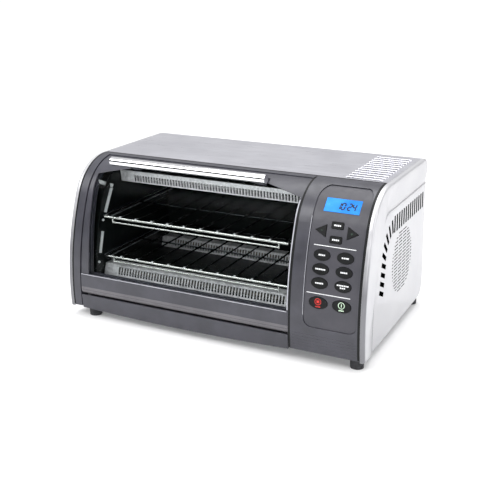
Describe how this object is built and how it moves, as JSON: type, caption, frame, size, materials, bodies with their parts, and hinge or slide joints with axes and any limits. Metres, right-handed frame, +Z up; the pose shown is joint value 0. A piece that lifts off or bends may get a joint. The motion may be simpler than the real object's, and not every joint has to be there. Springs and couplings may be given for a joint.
{
  "type": "toaster oven",
  "caption": "Free-standing digital toaster oven with a curved drop-down glass door, bar handle, push-button panel, wire racks and silver side panels.",
  "frame": {"origin": "centre of the bounding box on the plane the feet stand on", "axes": "+X to the oven's right as seen by someone facing it, +Y from front to back, +Z up"},
  "size_m": [0.474, 0.292, 0.2513],
  "materials": {
    "frame_grey": "satin",
    "plate_grey": "matte",
    "key_black": "satin",
    "display": "gloss",
    "dark_plastic": "matte",
    "foot_rubber": "matte",
    "board": "satin",
    "side_silver": "satin",
    "top_steel": "brushed",
    "zinc_steel": "satin",
    "cavity_dark": "gloss",
    "guard_steel": "satin",
    "element_sheath": "matte",
    "ceramic": "matte",
    "chrome": "polished",
    "glass": "clear",
    "fan_metal": "satin"
  },
  "bodies": {
    "case": {"left_bezel": "frame_grey", "top_bezel": "frame_grey", "control_housing": "frame_grey", "control_inset": "plate_grey", "display_lens": "display", "display_module": "dark_plastic", "cord_gland": "dark_plastic", "feet": "foot_rubber", "control_board": "board", "power_board": "board", "left_side_panel": "side_silver", "right_side_panel": "side_silver", "top_cover": "top_steel", "base_pan": "zinc_steel", "back_panel": "zinc_steel", "case_screws": "zinc_steel", "left_rack_guides": "zinc_steel", "right_rack_guides": "zinc_steel", "tray_guides": "zinc_steel", "fan_shroud": "zinc_steel", "hinge_pins": "zinc_steel", "cavity_floor": "cavity_dark", "cavity_roof": "cavity_dark", "cavity_left_wall": "cavity_dark", "cavity_right_wall": "cavity_dark", "cavity_back_wall": "cavity_dark", "upper_front_guard": "guard_steel", "upper_rear_guard": "guard_steel", "lower_front_guard": "guard_steel", "lower_rear_guard": "guard_steel", "upper_front_element": "element_sheath", "upper_rear_element": "element_sheath", "lower_front_element": "element_sheath", "lower_rear_element": "element_sheath", "element_holders": "ceramic", "fan_motor": "fan_metal"},
    "door": {"door_frame": "frame_grey", "door_glass": "glass", "glass_retainer": "zinc_steel", "handle_bar": "chrome", "handle_posts": "frame_grey"},
    "upper_rack_body": {"upper_rack": "chrome"},
    "lower_rack_body": {"lower_rack": "chrome"},
    "tray": {"crumb_tray": "zinc_steel", "tray_fascia": "frame_grey"},
    "fan_rotor": {"fan_shaft": "chrome", "convection_blade": "fan_metal", "cooling_blade": "fan_metal"},
    "left_arrow_key_body": {"left_arrow_key": "key_black"},
    "right_arrow_key_body": {"right_arrow_key": "key_black"},
    "upper_small_key_body": {"upper_small_key": "key_black"},
    "lower_small_key_body": {"lower_small_key": "key_black"},
    "stop_key_body": {"stop_key": "key_black"},
    "start_key_body": {"start_key": "key_black"},
    "oval_key_1_body": {"oval_key_1": "key_black"},
    "oval_key_2_body": {"oval_key_2": "key_black"},
    "oval_key_3_body": {"oval_key_3": "key_black"},
    "oval_key_4_body": {"oval_key_4": "key_black"},
    "oval_key_5_body": {"oval_key_5": "key_black"},
    "oval_key_6_body": {"oval_key_6": "key_black"}
  },
  "joints": [
    {"name": "door_hinge", "type": "hinge", "parent": "case", "child": "door", "pos_m": [0, -0.1375, 0.0455], "axis": [1, 0, 0], "range_deg": [0, 90]},
    {"name": "upper_rack_slide", "type": "slide", "parent": "case", "child": "upper_rack_body", "axis": [0, -1, 0], "range_m": [0, 0.095]},
    {"name": "lower_rack_slide", "type": "slide", "parent": "case", "child": "lower_rack_body", "axis": [0, -1, 0], "range_m": [0, 0.04]},
    {"name": "tray_slide", "type": "slide", "parent": "case", "child": "tray", "axis": [0, -1, 0], "range_m": [0, 0.18]},
    {"name": "fan_spin", "type": "hinge", "parent": "case", "child": "fan_rotor", "pos_m": [0, 0.0245, 0.108], "axis": [1, 0, 0], "continuous": true},
    {"name": "left_arrow_press", "type": "slide", "parent": "case", "child": "left_arrow_key_body", "axis": [0, 0.9351, -0.3543], "range_m": [0, 0.001], "stiffness_N_per_m": 400},
    {"name": "right_arrow_press", "type": "slide", "parent": "case", "child": "right_arrow_key_body", "axis": [0, 0.9351, -0.3543], "range_m": [0, 0.001], "stiffness_N_per_m": 400},
    {"name": "upper_small_press", "type": "slide", "parent": "case", "child": "upper_small_key_body", "axis": [0, 0.9262, -0.3771], "range_m": [0, 0.001], "stiffness_N_per_m": 400},
    {"name": "lower_small_press", "type": "slide", "parent": "case", "child": "lower_small_key_body", "axis": [0, 0.9455, -0.3257], "range_m": [0, 0.001], "stiffness_N_per_m": 400},
    {"name": "stop_press", "type": "slide", "parent": "case", "child": "stop_key_body", "axis": [0, 0.9964, -0.0849], "range_m": [0, 0.001], "stiffness_N_per_m": 400},
    {"name": "start_press", "type": "slide", "parent": "case", "child": "start_key_body", "axis": [0, 0.9964, -0.0849], "range_m": [0, 0.001], "stiffness_N_per_m": 400},
    {"name": "oval_press_1", "type": "slide", "parent": "case", "child": "oval_key_1_body", "axis": [0, 0.9641, -0.2657], "range_m": [0, 0.001], "stiffness_N_per_m": 400},
    {"name": "oval_press_2", "type": "slide", "parent": "case", "child": "oval_key_2_body", "axis": [0, 0.9641, -0.2657], "range_m": [0, 0.001], "stiffness_N_per_m": 400},
    {"name": "oval_press_3", "type": "slide", "parent": "case", "child": "oval_key_3_body", "axis": [0, 0.977, -0.2131], "range_m": [0, 0.001], "stiffness_N_per_m": 400},
    {"name": "oval_press_4", "type": "slide", "parent": "case", "child": "oval_key_4_body", "axis": [0, 0.977, -0.2131], "range_m": [0, 0.001], "stiffness_N_per_m": 400},
    {"name": "oval_press_5", "type": "slide", "parent": "case", "child": "oval_key_5_body", "axis": [0, 0.987, -0.1606], "range_m": [0, 0.001], "stiffness_N_per_m": 400},
    {"name": "oval_press_6", "type": "slide", "parent": "case", "child": "oval_key_6_body", "axis": [0, 0.987, -0.1606], "range_m": [0, 0.001], "stiffness_N_per_m": 400}
  ],
  "couplings": [
    {"joint": "upper_rack_slide", "follows": "door_hinge", "m_per_rad": 0.060479},
    {"joint": "lower_rack_slide", "follows": "door_hinge", "m_per_rad": 0.025465}
  ]
}
